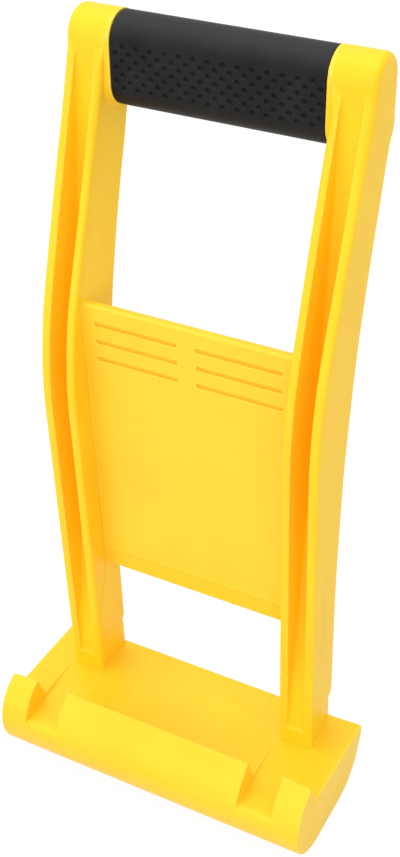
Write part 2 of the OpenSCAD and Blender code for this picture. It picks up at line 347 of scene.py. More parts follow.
def deck_lines(flow, mm, axes):
    """Shallow grooves from front to back on the deck: narrow valleys of a wave across x. The
    finish also paints them darker, as shade.
    """
    x, y, z = axes
    wave = abs(flow.math("SINE", (x - DECK_LINE_X) * (math.pi / DECK_LINE_PITCH)))
    groove = 1.0 - wave.step(0.0, 0.6)
    beside_leg = abs(abs(x) - LEG_MID).step(LEG_HALF, LEG_HALF + 0.6)
    uneven = noise(flow, mm, 0.05, 2.0).step(0.2, 0.55)
    flat = facing(flow, UPWARDS).step(0.97, 0.995) * z.step(29.0, 30.0) * beside_leg
    return groove * flat * (0.35 + y.step(-20.0, 20.0) * 0.65) * uneven * -DECK_LINE_D


def parting_line(flow, mm, axes):
    """A thin line on the sides of a leg where the halves of the mould met: sunk and sloping below
    the panel, upright behind it, and raised above it, back to the rear edge along a parabola. The
    finish gives the sunk part painted shade and the raised part a painted highlight."""
    x, y, z = axes
    low = flow.math("MINIMUM", (z - PART_LOW) * PART_FALL, 0.0)
    high = flow.math("MAXIMUM", z - PART_HIGH, 0.0)
    path = PART_Y + low + high * (PART_RISE + high * PART_CURVE)
    side = abs(facing(flow, ACROSS)).step(0.9, 0.98)
    raised = z.step(PANEL_LOW, PANEL_TOP) * (2.0 * PART_H) - PART_H
    return (1.0 - abs(y - path).step(0.1, 0.45)) * side * raised


plastic = {
    "base": yellow_plastic("yellow_base", deck_lines),
    "leg": yellow_plastic("yellow_legs", parting_line, sheen=0.16),
}
print("yellow finishes:", [m.name for m in plastic.values()])

# %% [markdown]
# ## The black rubber
# The grip is soft rubber with a dry, matt skin. It is never fully black: wear lifts the tone in
# slow clouds, the top is painted paler, a painted light from above, and the sheen is broad.

# %% Black rubber
RUBBER = (0.0045, 0.0045, 0.0047, 1.0)
# A paler grey, for clouds of wear and for the painted top light.
RUBBER_CLOUD_AND_TOP_LIGHT = (0.026, 0.026, 0.027, 1.0)
CLOUD_SCALE, GRAIN_SCALE, GRAIN_H = 0.09, 5.0, 0.012
RUBBER_ROUGH, RUBBER_IOR, RUBBER_SHEEN = 0.50, 1.5, 0.21


def black_rubber(name):
    """Matt rubber: two greys mixed by slow noise and by upward slope, which paints the top lighter;
    a rough sheen, a fine grain.
    """
    finish, shader, flow, mm, axes = new_finish(name)
    cloud = noise(flow, mm, CLOUD_SCALE, 4.0, 0.6).step(0.35, 0.7)
    grain = noise(flow, mm, GRAIN_SCALE, 2.0)
    # The top is painted paler: a painted light from above.
    painted_top_light = facing(flow, UPWARDS).step(0.15, 0.85)
    tone = (cloud * 0.3 + painted_top_light * 0.6).mix(RUBBER, RUBBER_CLOUD_AND_TOP_LIGHT)
    rough = RUBBER_ROUGH + cloud * 0.08 + grain * 0.06
    connect(flow, shader, grain * GRAIN_H, RUBBER_IOR, RUBBER_SHEEN,
            Base_Color=tone, Roughness=rough)
    return finish


rubber = black_rubber("black_rubber")
print("rubber finish:", rubber.name)


# %% [markdown]
# ## Edge curves of the legs
# Seen from the side, a leg is a bent strip with a round head. Its front runs straight, bends
# and leans back, and its back edge is one long curve. Each edge is a function y(z), so that a
# leg can be built from horizontal slices.

# %% Lines and rounded corners
def corner(before, at, after, radius, count):
    """Points of an arc that rounds a corner: tangent to both sides, at equal angles."""
    before, at, after = (np.array(p, float) for p in (before, at, after))
    a, b = ((p - at) / np.linalg.norm(p - at) for p in (before, after))
    half = math.acos(float(np.clip(a @ b, -1.0, 1.0))) / 2.0
    middle = at + (a + b) / np.linalg.norm(a + b) * radius / math.sin(half)
    start = at + a * radius / math.tan(half) - middle
    turn = (math.pi - 2.0 * half) * -np.sign(a[0] * b[1] - a[1] * b[0])
    angle = np.linspace(0.0, turn, count)
    return middle + np.stack([start[0] * np.cos(angle) - start[1] * np.sin(angle),
                              start[0] * np.sin(angle) + start[1] * np.cos(angle)], axis=-1)


def line(start, end, count):
    """Points by equal steps, without the first one."""
    t = np.linspace(0.0, 1.0, count + 1)[1:, None]
    return np.array(start, float) * (1.0 - t) + np.array(end, float) * t


def bent(foot, at, end, radius, z):
    """Height to depth along two straight lines through a corner, rounded by an arc of that radius."""
    path = np.concatenate([[foot], corner(foot, at, end, radius, 60), [end]])
    return np.interp(z, path[:, 1], path[:, 0])


def normals(ring):
    """Normals of a closed line, at right angles to the chord between each point's neighbours."""
    along = np.roll(ring, -1, 0) - np.roll(ring, 1, 0)
    return np.stack([-along[:, 1], along[:, 0]], -1) / np.linalg.norm(along, axis=1, keepdims=True)


def soft_max(a, b, width):
    """The larger of two values, with the corner between them rounded over a width."""
    return (a + b + np.sqrt((a - b) ** 2 + width ** 2)) / 2.0


def through(p, q, z):
    """Depth at a height on the straight line through two points."""
    return p[0] + (q[0] - p[0]) * (z - p[1]) / (q[1] - p[1])


print("rounded corner:", corner((2, 0), (0, 0), (0, 2), 1.0, 3).round(2).tolist())

# %% Side view of a leg
FRONT_BEND_Z, FRONT_BEND_R = 221.0, 175.0
BACK_BEND_Z, BACK_BEND_R = 190.0, 640.0
FRONT_LOW_RUN, FRONT_HIGH_RUN, BACK_RUN = 220.0, 150.0, 180.0
LEG_D, FOOT_D, STEP_Z, BACK_INSET = 24.0, 22.4, 49.3, 3.5
LEDGE_D, LEDGE_H, KNEE_D, KNEE_H, WEB_SOFT = 1.2, 10.5, 8.9, 55.4, 0.8
# Shifts of the back edge that the photo shows, and their heights
BACK_LOW, BACK_MIDDLE, BACK_HIGH = 0.5, 0.35, 0.6
MIDDLE_FROM, LOW_FADE, HIGH_SPAN = (55.0, 105.0), (145.0, 190.0), (200.0, 245.0, 288.0, 306.0)
# Where the leg turns into the head
RIM_END, RIM_AWAY, HEAD_JOIN = GRIP_Z + 5.0, 60.0, 1.6
UNDER_HEAD, HEAD_HOLLOW = 4.0, 3.2
HOLLOW_SPAN = (296.0, 312.0, GRIP_LOW + 6.0, GRIP_LOW + 14.0)

DOWNWARD = np.array([LEAN, -1.0])
FRONT_BEND = np.array([-LEAN * (FRONT_BEND_Z - DECK_H), FRONT_BEND_Z])
BACK_BEND = np.array([LEG_D - LEAN * (BACK_BEND_Z - DECK_H + LEAN * LEG_D), BACK_BEND_Z])
BACK_TOP = np.array([GRIP_Y + GRIP_D / 2.0 - BACK_INSET, GRIP_LOW])
WEB_LOW = np.array([LEDGE_D - LEAN * LEDGE_H, DECK_H + LEDGE_H])
WEB_KNEE = np.array([KNEE_D - LEAN * KNEE_H, DECK_H + KNEE_H])
WEB_TOP = np.array([GRIP_FRONT, GRIP_Z - ROUND_Z])


def lean_front(z):
    """Front edge of the rims: a line that leans forward, an arc, and a line that leans back."""
    foot = FRONT_BEND + DOWNWARD * FRONT_LOW_RUN
    end = FRONT_BEND + np.array([UPPER_LEAN, 1.0]) * FRONT_HIGH_RUN
    return bent(foot, FRONT_BEND, end, FRONT_BEND_R, z)


def lean_back(z):
    """Back edge of the leg: two lines and a wide arc, shifted a little, and the step at the foot."""
    along = (BACK_TOP - BACK_BEND) / (BACK_TOP - BACK_BEND)[1]
    foot, end = BACK_BEND + DOWNWARD * BACK_RUN, BACK_BEND + along * BACK_RUN
    low = (BACK_LOW + BACK_MIDDLE * ramp(*MIDDLE_FROM, z)) * (1.0 - ramp(*LOW_FADE, z))
    high = BACK_HIGH * between(*HIGH_SPAN, z)
    edge = bent(foot, BACK_BEND, end, BACK_BEND_R, z) + low - high
    step = FOOT_D - LEAN * (z - DECK_H) + np.maximum(z - STEP_Z, 0.0) * (1.0 + LEAN)
    return np.minimum(edge, step)


def web_front(z):
    """Front face of the web: steeply back from the foot, then straight to the front of the grip."""
    return -soft_max(-through(WEB_LOW, WEB_KNEE, z), -through(WEB_KNEE, WEB_TOP, z), WEB_SOFT)


def stadium_half(z):
    """Half the depth of the grip's section at a height: its radius, less where the ends close."""
    past = np.maximum(np.abs(z - GRIP_Z) - ROUND_Z, 0.0)
    return np.sqrt(np.maximum((GRIP_D / 2.0) ** 2 - past ** 2, 0.0))


def side_front(z):
    """Front of leg and head together."""
    head = np.where(z < GRIP_Z, GRIP_FRONT, GRIP_Y - stadium_half(z))
    leg = lean_front(z) + RIM_AWAY * ramp(RIM_END, GRIP_TOP, z)
    return -soft_max(-leg, -head, HEAD_JOIN * (1.0 - ramp(GRIP_Z, RIM_END + 6.0, z)))


def side_back(z):
    """Back of leg and head together, with a hollow curve where they meet."""
    head = GRIP_Y + stadium_half(z) - UNDER_HEAD * np.maximum(GRIP_LOW - z, 0.0)
    joined = soft_max(lean_back(z), head, HEAD_HOLLOW * between(*HOLLOW_SPAN, z))
    return np.where(z < HOLLOW_SPAN[-1], joined, head)


heights = np.linspace(DECK_H, GRIP_TOP, 5)
print("front edge", side_front(heights).round(1), "back edge", side_back(heights).round(1))


# %% [markdown]
# ## Legs and heads
# A leg is an H in section: two rims joined by a web, so it has a channel in front and one behind.
# Blender could cut boxes out of a block and bevel the edges, but the channels change depth all the
# way up and fade into the head. Here every horizontal slice is one closed line with rounded
# corners, and the slices are stacked from the deck to the top of the head.

# %% Rounding
ARC = np.linspace(0.0, math.pi / 2.0, 7)


def distance_in(y, z, outline):
    """Distance of points to an open or closed line of short pieces in the side view."""
    a, b = outline[:-1], outline[1:]
    step = b - a
    length = np.maximum((step ** 2).sum(1), 1e-9)
    gap = np.stack([y.ravel(), z.ravel()], axis=-1)[:, None, :] - a
    t = np.clip((gap * step).sum(2) / length, 0.0, 1.0)
    return np.sqrt(((gap - t[..., None] * step) ** 2).sum(2).min(1)).reshape(y.shape)


def rounded_drop(distance, radius):
    """How far a face lies below its plane near an edge rounded by a quarter circle."""
    t = np.clip(1.0 - distance / radius, 0.0, 1.0)
    return radius * (1.0 - np.sqrt(1.0 - t * t))


def channel_strip(x_from, wall_from, x_to, wall_to, depth, soft=0.9, root=1.4):
    """Rim, wall, floor, wall and rim across a leg: x and depth for each slice. The rim turns over
    by an arc of radius soft, and the floor meets the wall by an arc of radius root. A shallow
    channel squeezes both arcs flat, so that it fades away."""
    squeeze = np.clip(depth / (soft + root), 0.0, 1.0)
    over_x, over_d = soft * (1.0 - np.sin(ARC)), soft * (1.0 - np.cos(ARC))
    root_x, root_d = root * (1.0 - np.cos(ARC)), root * (1.0 - np.sin(ARC))

    def half(edge, wall):
        sign = np.sign(wall - edge)
        return np.concatenate([
            [edge, (edge + wall - sign * soft) / 2.0], [wall - sign * v for v in over_x],
            [wall, wall], [wall + sign * v for v in root_x]])

    down = np.concatenate([
        [0 * depth, 0 * depth],
        [squeeze * v for v in over_d],
        [squeeze * soft + (depth - squeeze * (soft + root)) * t for t in (0.33, 0.67)],
        [depth - squeeze * v for v in root_d]])
    first, last = half(x_from, wall_from), half(x_to, wall_to)[::-1]
    middle = np.stack([first[-1] + (last[0] - first[-1]) * t for t in (0.25, 0.5, 0.75)])
    across = np.concatenate([first, middle, last])
    return across, np.concatenate([down, np.stack([depth] * 3), down[::-1]])


print("drop near a rounded edge:", rounded_drop(np.array([0.0, 0.5, 1.0]), 1.0).round(2))

# %% Slices of a leg
LEG_SOFT, HEAD_SOFT, HEAD_SOFT_FROM = 1.6, 1.2, (292.0, 330.0)
RIM_THIN, RIM_THIN_FROM = 0.4, (235.0, 290.0)
LEG_SWELL, LEG_SWELL_FROM = 0.25, (225.0, 290.0)
HEAD_SWELL, HEAD_SWELL_FROM = 0.35, (300.0, 335.0)
INNER_BOW, SLACK = 0.45, 0.05
FLARE_R, FLARE_DEPTH, FLARE_POINTS = 0.8, 5.0, 5
FOOT_IN, FOOT_TOP, FOOT_BACK = 0.5, (47.5, 50.5), (8.0, 20.0)
BACK_CHANNEL = (DECK_H + 2.2, DECK_H + 3.6, 309.6, 311.7)


def head_heights(count):
    """Heights round the top of the head, by equal angles of its half circle."""
    return GRIP_Z + ROUND_Z + GRIP_D / 2.0 * np.sin(np.linspace(0.0, math.pi / 2.0, count))


def leg_heights():
    """Heights of the slices: even steps, and closer at each feature and round the top."""
    spans = [
        (DECK_H - 2.0, GRIP_LOW, 130),
        (DECK_H - 1.4, DECK_H + 4.4, 30),
        (WEB_LOW[1] - 2.0, WEB_LOW[1] + 1.2, 14),
        (STEP_Z - 3.9, STEP_Z + 4.7, 14),
        (BACK_CHANNEL[2] - 1.6, BACK_CHANNEL[3] + 1.3, 14),
        (GRIP_LOW, GRIP_Z + ROUND_Z, 44),
    ]
    steps = [np.linspace(*span) for span in spans]
    return np.unique(np.concatenate(steps + [head_heights(30)]).round(4))


def inner_face(z):
    """x of the inner face: a very slight bow, then out to the seam once the rims have run out."""
    up = np.clip((z - PANEL_LOW) / (GRIP_LOW - PANEL_LOW), 0.0, 1.0)
    out = ramp(RIM_END + 2.0, RIM_END + 8.0, z)
    return (LEG_IN + INNER_BOW * np.sin(math.pi * up)) * (1.0 - out) + (SEAM + SLACK) * out


def foot_flare(x, y, z):
    """Spreads the sides of a slice near the deck, by a quarter circle hollow to the corner."""
    above = np.clip(z - (DECK_H - LEAN * np.maximum(y, 0.0)), 0.0, FLARE_R)
    spread = FLARE_R - np.sqrt(FLARE_R ** 2 - (FLARE_R - above) ** 2)
    spread = spread * ramp(0.0, FLARE_DEPTH, y)
    along_x, along_y = (
        np.roll(v, -FLARE_POINTS, 0) - np.roll(v, FLARE_POINTS, 0) for v in (x, y))
    length = np.maximum(np.hypot(along_x, along_y), 1e-6)
    return x - spread * along_y / length, y + spread * along_x / length


def side_faces(z, front, back):
    """Both sides of each slice, from front to back: y, outer x and inner x. They fall off by a
    quarter circle near the outline, and the outer one swells a little towards the head."""
    deep = back - front
    fine = np.concatenate([
        np.linspace(DECK_H - 30.0, GRIP_Z + ROUND_Z, 640)[:-1], head_heights(160)])
    outline = np.concatenate([
        np.stack([side_front(fine), fine], -1), np.stack([side_back(fine), fine], -1)[::-1]])
    soft = LEG_SOFT + HEAD_SOFT * ramp(*HEAD_SOFT_FROM, z)
    near = np.minimum(soft, deep * 0.49)
    turn_in = np.stack([near * (1.0 - c) for c in np.cos(ARC)])
    inside = np.stack([near + (deep - 2.0 * near) * t for t in np.linspace(0.0, 1.0, 12)[1:-1]])
    y = front[:, None] + np.concatenate([turn_in, inside, (deep - turn_in)[::-1]]).T
    edge = distance_in(y, z[:, None] + 0.0 * y, outline)
    swell = LEG_SWELL * ramp(*LEG_SWELL_FROM, z) + HEAD_SWELL * ramp(*HEAD_SWELL_FROM, z)
    outer_x = LEG_OUT + swell[:, None] - rounded_drop(edge, soft[:, None])
    inner_soft = np.where(z > GRIP_LOW, np.clip(0.9 * (GRIP_FRONT - front), 0.15, soft), soft)
    inner_x = inner_face(z)[:, None] + rounded_drop(edge, inner_soft[:, None])
    return y, outer_x, inner_x


def channel_depths(z, front, back):
    """Depth of the front and of the back channel: from the edge of the leg to the web."""
    in_front = np.maximum(web_front(z) - front, 0.0)
    in_front = in_front * ramp(WEB_LOW[1] - 1.8, WEB_LOW[1] + 0.8, z)
    in_front = np.where(z > WEB_TOP[1], np.maximum(GRIP_FRONT - front, 0.0), in_front)
    behind = np.maximum(back - web_front(z) - WEB_T, 0.0)
    return in_front, behind * between(*BACK_CHANNEL, z)


def leg_surface():
    """Stacked slices of leg and head. Each runs outer side, front strip, inner side, back strip.
    The rims thin a little towards the top, and the lowest slice is closed by a point."""
    z = leg_heights()
    front, back = side_front(z), side_back(z)
    y, outer_x, inner_x = side_faces(z, front, back)
    in_front, behind = channel_depths(z, front, back)
    rim = RIM_T - RIM_THIN * ramp(*RIM_THIN_FROM, z)
    outer_wall, inner_wall = LEG_OUT - rim, LEG_IN + rim
    fx, fd = channel_strip(outer_x[:, 0], outer_wall, inner_x[:, 0], inner_wall, in_front)
    bx, bd = channel_strip(inner_x[:, -1], inner_wall, outer_x[:, -1], outer_wall, behind)
    ring_x = np.concatenate([outer_x[:, ::-1].T, fx[1:-1], inner_x.T, bx[1:-1]])
    ring_y = np.concatenate([y[:, ::-1].T, front + fd[1:-1], y.T, back - bd[1:-1]])
    ring_x, ring_y = foot_flare(ring_x, ring_y, z)
    ring_x -= FOOT_IN * (1.0 - ramp(*FOOT_TOP, z)) * ramp(*FOOT_BACK, ring_y)
    ring_y[:, -1] = GRIP_Y
    ring = np.stack([ring_x, ring_y, np.broadcast_to(z, ring_x.shape)], -1).transpose(1, 0, 2)
    foot = np.broadcast_to(ring[:1].mean(1, keepdims=True), ring[:1].shape)
    return np.concatenate([foot, ring])


leg = leg_surface()
print("leg grid", leg.shape)


# %% Place the legs
def painted_channel_glow(points):
    """How deep a point lies in the front channel, as a share of painted glow: orange light the finish
    emits in place of light bounced in the plastic. 0 on the rims, 1 on the walls and the web. The
    front of the foot has 1 too, and the inner side above the panel a share that falls upwards."""
    x, y, z = np.abs(points[:, 0]), points[:, 1], points[:, 2]
    back = y - lean_front(z)
    across = between(LEG_IN + 2.5, LEG_IN + RIM_T, LEG_OUT - RIM_T, LEG_OUT - 2.5, x)
    channel = across * ramp(0.5, 4.0, back) * (1.0 - ramp(0.5, 1.5, y - web_front(z)))
    foot = (1.0 - ramp(DECK_H + 5.0, DECK_H + 14.0, z)) * (1.0 - ramp(0.8, 2.0, back))
    side = (1.0 - ramp(LEG_IN + 0.7, LEG_IN + 1.5, x)) * ramp(2.0, 9.0, back)
    side = side * ramp(PANEL_TOP - 8.0, PANEL_TOP + 2.0, z)
    share = 0.2 + 0.3 * (1.0 - ramp(PANEL_TOP, PANEL_TOP + 45.0, z))
    return np.maximum(np.maximum(channel, foot), side * share)


# The legs' finish emits this painted glow as orange light.
for side, mirror in SIDES:
    surface(side + "_leg_and_head", leg * mirror, plastic["leg"],
            (side + "_leg", side + "_head"), painted_channel_glow)

# %% [markdown]
# ## Collars and grip
# Between a leg and the rubber stands a short yellow collar with the section of the grip: a
# rectangle with half round ends. Both are that section carried along x. The rubber's front and
# back carry staggered rows of round dimples, pressed in along the surface's own normal.

# %% Round-ended section
GRIP_ROUND = math.pi * GRIP_D + 2.0 * (GRIP_H - GRIP_D)


def stadium(s):
    """The grip's section and its normals at lengths s along its edge, from the top and round by the
    front: a quarter circle, a straight side, a half circle, a straight side, a quarter circle."""
    radius, straight = GRIP_D / 2.0, GRIP_H - GRIP_D
    quarter = math.pi * radius / 2.0
    ends = np.cumsum([0.0, quarter, straight, 2.0 * quarter, straight, quarter])
    part = np.clip(s[:, None] - ends[:-1], 0.0, np.diff(ends))
    angle = (part[:, 0] + part[:, 2] + part[:, 4]) / radius
    middle = straight / 2.0 - part[:, 1] + part[:, 3]
    normal = np.stack([-np.sin(angle), np.cos(angle)], -1)
    return normal * radius + np.stack([0.0 * middle, middle], -1), normal


print("round the grip:", round(GRIP_ROUND, 1), "mm")

# %% Collars
COLLAR_EDGE, COLLAR_HOLLOW, COLLAR_IN, COLLAR_POINTS = 0.6, 0.9, 0.6, 200


def collar_surface():
    """A closed disc. From the seam it runs over a round edge to the leg and meets it by a hollow
    quarter circle, which fades out where the collar lies flush with the head. Each row is the
    section moved along its own normals by an inset that depends on x."""
    s = np.arange(COLLAR_POINTS) / COLLAR_POINTS * GRIP_ROUND
    section, normal = stadium(s)
    y, z = section[:, 0] + GRIP_Y, section[:, 1] + GRIP_Z
    inside = np.minimum(y - lean_front(z), lean_back(z) - y)
    below_head = 1.0 - ramp(GRIP_Z - 8.0, GRIP_Z + 2.0, z)
    hollow = COLLAR_HOLLOW * ramp(1.0, 5.0, inside) * below_head + 0.001
    far, end = GRIP_D / 2.0 - 0.2, LEG_IN + COLLAR_IN
    rows = [(SEAM, far)]
    rows += [(SEAM + COLLAR_EDGE * (1.0 - math.cos(t)), SLACK + COLLAR_EDGE * (1.0 - math.sin(t)))
             for t in ARC]
    rows += [(LEG_IN - hollow * (1.0 - math.sin(t)), SLACK - hollow * (1.0 - math.cos(t)))
             for t in ARC]
    rows += [(end, SLACK - hollow), (end, far)]
    return np.stack([
        np.stack(np.broadcast_arrays(x, y - normal[:, 0] * inset, z - normal[:, 1] * inset), -1)
        for x, inset in rows])


collar = collar_surface()
for side, mirror in SIDES:
    surface(side + "_collar", collar * mirror, plastic["leg"], wrap_rows=True)

# %% Rubber grip with dimples
PITCH_X, PITCH_Z, DIMPLE_ROWS, DIMPLE_COLUMNS = 6.27, 2.82, 7, 7.0
DIMPLE_R, DIMPLE_D, DIMPLE_SHIFT = 1.25, 1.1, 0.3
STEPS_X, STEPS_Z, FINE_X, FINE_Z = 22.0, 10.0, 160, 44
GRIP_GAP, GRIP_BELOW, GRIP_SOFT, RUBBER_T = 0.1, 0.28, 0.6, 3.0


def dimple_depth(x, z):
    """Depth pressed in at a place on the flat side: staggered round dimples with a soft lip.
    Rows lie PITCH_Z apart about the middle, and every second row is shifted by half a pitch."""
    x, z = x - DIMPLE_SHIFT, z - DIMPLE_SHIFT
    row = np.clip(np.round(z / PITCH_Z), -(DIMPLE_ROWS // 2), DIMPLE_ROWS // 2)
    shift = np.where(row % 2 == 0, 0.0, 0.5)
    limit = DIMPLE_COLUMNS - shift
    column = np.clip(np.round(x / PITCH_X - shift) + shift, -limit, limit)
    away = np.hypot(x - column * PITCH_X, z - row * PITCH_Z)
    return DIMPLE_D * (1.0 - ramp(0.5 * DIMPLE_R, DIMPLE_R, away))


def grip_surface():
    """Tube of rubber: outer skin, rounded ends and the hole for the bar. The skin lies a little
    below the collars: section(s) - normal(s) * (below + dimple(x, length from the side's middle))."""
    half_round = GRIP_ROUND / 2.0
    side_middle = (GRIP_H - GRIP_D) / 2.0 + math.pi * GRIP_D / 4.0
    fine = np.arange(-FINE_Z, FINE_Z + 1) * PITCH_Z / STEPS_Z + side_middle
    bend = np.linspace(fine[-1], fine[0] + half_round, 32)[1:-1]
    s = np.concatenate([fine, bend, fine + half_round, bend + half_round]) % GRIP_ROUND
    end = SEAM - GRIP_GAP
    flat = np.arange(-FINE_X, FINE_X + 1) * PITCH_X / STEPS_X
    flat = flat[np.abs(flat) < end - GRIP_SOFT - 0.05]
    turn, fall = end - GRIP_SOFT + GRIP_SOFT * np.sin(ARC), GRIP_SOFT * (1.0 - np.cos(ARC))
    x = np.concatenate([[-end], -turn[::-1], flat, turn, [end]])
    inset = np.concatenate([[RUBBER_T], fall[::-1], 0.0 * flat, fall, [RUBBER_T]])
    section, normal = stadium(s)
    side = (s - side_middle) % half_round
    side = np.where(side > half_round / 2.0, side - half_round, side)
    press = dimple_depth(x[:, None], side[None, :]) * (np.abs(x) < end - GRIP_SOFT)[:, None]
    skin = section[None] - normal[None] * (press + inset[:, None] + GRIP_BELOW)[..., None]
    along = np.broadcast_to(x[:, None, None], skin.shape[:2] + (1,))
    return np.concatenate([along, skin], -1) + [0.0, GRIP_Y, GRIP_Z]


surface("rubber_grip", grip_surface(), rubber, ("grip",), wrap_rows=True)
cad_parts["handle_bar"].data.materials.clear()
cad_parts["handle_bar"].data.materials.append(plastic["leg"])

# %% [markdown]
# ## Base and lugs
# The base is a rounded beam across the foot, hollow from behind, with a lip of three lugs along
# its front. It could be cut from a solid, but its outline is the same all along x apart from a few
# sudden changes: lug or strip, cell or rib. So two outlines are drawn with the same number of
# points, and the beam is a blend between them that switches over less than a millimetre.

# %% Rounds and slopes of the base
FRONT_C = base_box[0][1] - SHIFT + BASE_R
BACK_C = base_box[1][1] - SHIFT - BASE_R
LUG_FOOT = np.array([-CHANNEL_W, DECK_H + LEAN * CHANNEL_W])
CREST_Z = LUG_FOOT[1] + LUG_H
LUG_TOP = np.array([FRONT_C - math.sqrt(BASE_R ** 2 - (CREST_Z - BASE_R) ** 2), CREST_Z])


def deck(y):
    """The deck falls a little towards the back."""
    return DECK_H - LEAN * y


def strip(y):
    """The plain strip in front of a leg falls towards the front."""
    return DECK_H - STRIP_LEAN * y


def on_front(z):
    """Angle from the bottom of the front round at which it reaches a height."""
    return math.acos((BASE_R - z) / BASE_R)


def front_arc(low, high, count, radius=BASE_R):
    """Points on the front round between two angles from its bottom, by equal steps."""
    angle = np.linspace(low, high, count)
    return np.stack([FRONT_C - radius * np.sin(angle), BASE_R - radius * np.cos(angle)], -1)


def back_arc(low, high, count):
    """The same on the back round."""
    angle = np.linspace(low, high, count)
    return np.stack([BACK_C + BASE_R * np.sin(angle), BASE_R - BASE_R * np.cos(angle)], -1)


print("flat underside from y", FRONT_C.round(2), "to", BACK_C.round(2))

# %% Outlines of the base
CREST_R, LUG_FOOT_R, STRIP_R, TAIL_R = 0.9, 1.2, 3.2, 1.0
# Angles below the strip's edge and the crest
STRIP_END, STRIP_FROM, CREST_END, CREST_FROM = 0.13, 0.12, 0.05, 0.06
STRIP_REACH, DECK_REACH, CELL_REACH = FRONT_C - 23.3, 25.5, -41.5
STRIP_MARKS = (-35.0, -31.5)

strip_edge = on_front(strip(STRIP_REACH))
lug_edge = on_front(LUG_TOP[1])
deck_end = BACK_C + math.sqrt(BASE_R ** 2 - (deck(DECK_REACH) - BASE_R) ** 2)
roof_edge = on_front(deck(deck_end) - BASE_WALL)
floor_edge = on_front(BASE_WALL)
leg_front = (0.0, deck(0.0))
part_edge = strip_edge - STRIP_END
before_crest, before_strip, strip_start = (
    front_arc(angle, angle, 1)[0]
    for angle in (lug_edge - CREST_FROM, strip_edge - STRIP_FROM, strip_edge))
roof_back, floor_back = (back_arc(angle, angle, 1)[0] for angle in (roof_edge, floor_edge))

under = np.concatenate([
    back_arc(floor_edge, 0.0, 8), line((BACK_C, 0.0), (FRONT_C, 0.0), 5),
    front_arc(0.0, part_edge, 30)[1:]])
lug_root = corner(LUG_TOP, LUG_FOOT, leg_front, LUG_FOOT_R, 7)
lug_part = np.concatenate([
    front_arc(part_edge, lug_edge - CREST_END, 21)[1:],
    corner(before_crest, LUG_TOP, LUG_FOOT, CREST_R, 7), lug_root,
    line(lug_root[-1], leg_front, 10)])
strip_round = corner(before_strip, strip_start, (-30.0, strip(-30.0)), STRIP_R, 9)
strip_y = np.concatenate([
    np.linspace(strip_round[-1][0], STRIP_MARKS[0], 13)[1:], np.linspace(*STRIP_MARKS, 8)[1:],
    np.linspace(STRIP_MARKS[1], lug_root[-1][0], 7)[1:], lug_part[-10:, 0]])
strip_part = np.concatenate([strip_round, np.stack([strip_y, strip(strip_y)], -1)])
tail = np.concatenate([
    line(leg_front, (deck_end - 2.0, deck(deck_end - 2.0)), 8),
    corner(leg_front, (deck_end, deck(deck_end)), roof_back, TAIL_R, 7)])


def cell_line(roof):
    """Inside of a cell: forward along the roof, down the front and back along the floor."""
    inner_r = BASE_R - BASE_WALL
    reach = FRONT_C - math.sqrt(inner_r ** 2 - (roof(CELL_REACH) - BASE_R) ** 2)
    top = np.linspace(roof_back[0], reach, 18)
    turn = math.acos((BASE_R - roof(reach)) / inner_r)
    return np.concatenate([
        np.stack([top, roof(top)], -1), front_arc(turn, 0.0, 26, inner_r)[1:],
        line((FRONT_C, BASE_WALL), floor_back, 9)])[1:-1]


lug_cell = cell_line(lambda y: deck(y) - BASE_WALL)
strip_cell = cell_line(lambda y: np.minimum(deck(y), strip(y)) - BASE_WALL)
rib_line = back_arc(roof_edge, floor_edge, len(lug_cell) + 2)[1:-1]
print("outline points", len(under), len(lug_part), len(strip_part), len(tail), len(rib_line))


# %% Beam along x
RIGHT_CELLS = [(1.5, 23.7), (26.7, 48.9), (51.9, 62.7), (65.7, 77.0)]
CELLS = RIGHT_CELLS + [(-b, -a) for a, b in RIGHT_CELLS]
SWITCH, LUG_ROUND, LUG_DRAFT, END_SOFT = 0.9, 1.0, 0.3, 0.9
SIDE_STEEP, ROOF_FALL = 1.5, 3.0
HEART, SHRINK = np.array([-27.5, 19.0]), (0.8, 0.55, 0.3, 0.0)
# Near the ends the photo shows the back and the deck wider, the deck higher, the crest lower
END_X, WIDER, DECK_WIDER, DECK_UP, CREST_DOWN = (67.0, 79.0), 0.005, 0.010, 0.6, 0.8
WIDER_Y, DECK_WIDER_Y, DECK_WIDER_Z = (-46.0, 26.0), (-33.0, -25.0), (16.0, 31.0)
DECK_UP_Y, DECK_UP_Z, CREST_DOWN_Z = (-32.0, -24.0), (25.0, 30.0), (36.0, 46.0)


def lug_fall(x):
    """How far the surface lies below a lug: 0 on it, a quarter circle at its end, a steep side."""
    past = LUG_ROUND + LUG_DRAFT - np.maximum(LEG_IN - np.abs(x), np.abs(x) - LEG_OUT)
    over = np.clip(past, 0.0, LUG_ROUND)
    side = np.clip(past - LUG_ROUND, 0.0, LUG_DRAFT) / LUG_DRAFT
    return LUG_ROUND - np.sqrt(LUG_ROUND ** 2 - over ** 2) + side * LUG_H * SIDE_STEEP


def beam_places():
    """Places along x: even steps, and closer where a cell or a lug ends."""
    turn = np.array([0.0, 0.08, 0.2, 0.35, 0.5, 0.65, 0.8, 0.92, 1.0]) * SWITCH
    cells = [v + turn for a, b in CELLS for v in (a, b - SWITCH)]
    quarter = np.linspace(0.0, math.pi / 2.0, 10)
    past = np.concatenate([
        LUG_DRAFT + LUG_ROUND * (1.0 - np.sin(quarter)),
        LUG_DRAFT * np.linspace(0.83, 0.0, 6), [-0.12]])
    lugs = [side * (at + way * past)
            for side in (-1, 1) for at, way in ((LEG_IN, -1), (LEG_OUT, 1))]
    even = np.linspace(-BASE_END + END_SOFT, BASE_END - END_SOFT, 61)
    return np.unique(np.concatenate(cells + lugs + [even]).round(4))


